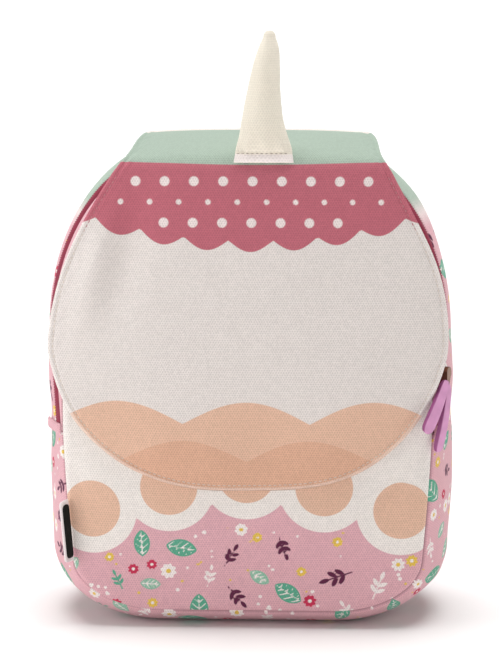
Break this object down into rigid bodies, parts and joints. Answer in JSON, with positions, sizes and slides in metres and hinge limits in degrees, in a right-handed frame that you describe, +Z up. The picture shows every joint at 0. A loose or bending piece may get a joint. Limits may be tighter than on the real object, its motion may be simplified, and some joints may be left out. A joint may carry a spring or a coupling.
{
  "type": "kids backpack",
  "caption": "Small child's backpack with a rounded zipped body, a wide flap over top and front, a stuffed cone horn on its fold and padded shoulder straps.",
  "frame": {"origin": "middle of the flat base, on the surface that the bag stands on", "axes": "+Z up, -Y to the front of the bag, where the flap hangs, +X to the right seen from the front"},
  "size_m": [0.246, 0.1584, 0.356],
  "materials": {
    "cream_canvas": "plain-woven cotton canvas, printed",
    "pink_canvas": "plain-woven cotton canvas, printed",
    "back_padding": "padded polyester cloth",
    "zip_tape": "woven polyester tape",
    "zip_coil": "nylon coil",
    "slider_metal": "antique-plated die casting",
    "soft_pull": "moulded soft PVC",
    "woven_label": "woven ribbon",
    "webbing": "woven polypropylene webbing",
    "buckle_plastic": "moulded acetal"
  },
  "bodies": {
    "root": {"front_panel": "pink_canvas", "gusset_lower": "pink_canvas", "gusset_front_strip": "pink_canvas", "gusset_back_strip": "pink_canvas", "zip_stop_left": "pink_canvas", "zip_stop_right": "pink_canvas", "flap": "cream_canvas", "horn": "cream_canvas", "back_panel": "back_padding", "zip_tape": "zip_tape", "zip_coil": "zip_coil", "zip_slider": "slider_metal", "zip_pull": "soft_pull", "side_label": "woven_label", "shoulder_pad_left": "pink_canvas", "shoulder_pad_right": "pink_canvas", "pad_keeper_left": "webbing", "pad_keeper_right": "webbing", "strap_webbing_left": "webbing", "strap_webbing_right": "webbing", "strap_buckle_left": "buckle_plastic", "strap_buckle_right": "buckle_plastic", "strap_tab_left": "pink_canvas", "strap_tab_right": "pink_canvas"}
  },
  "joints": []
}
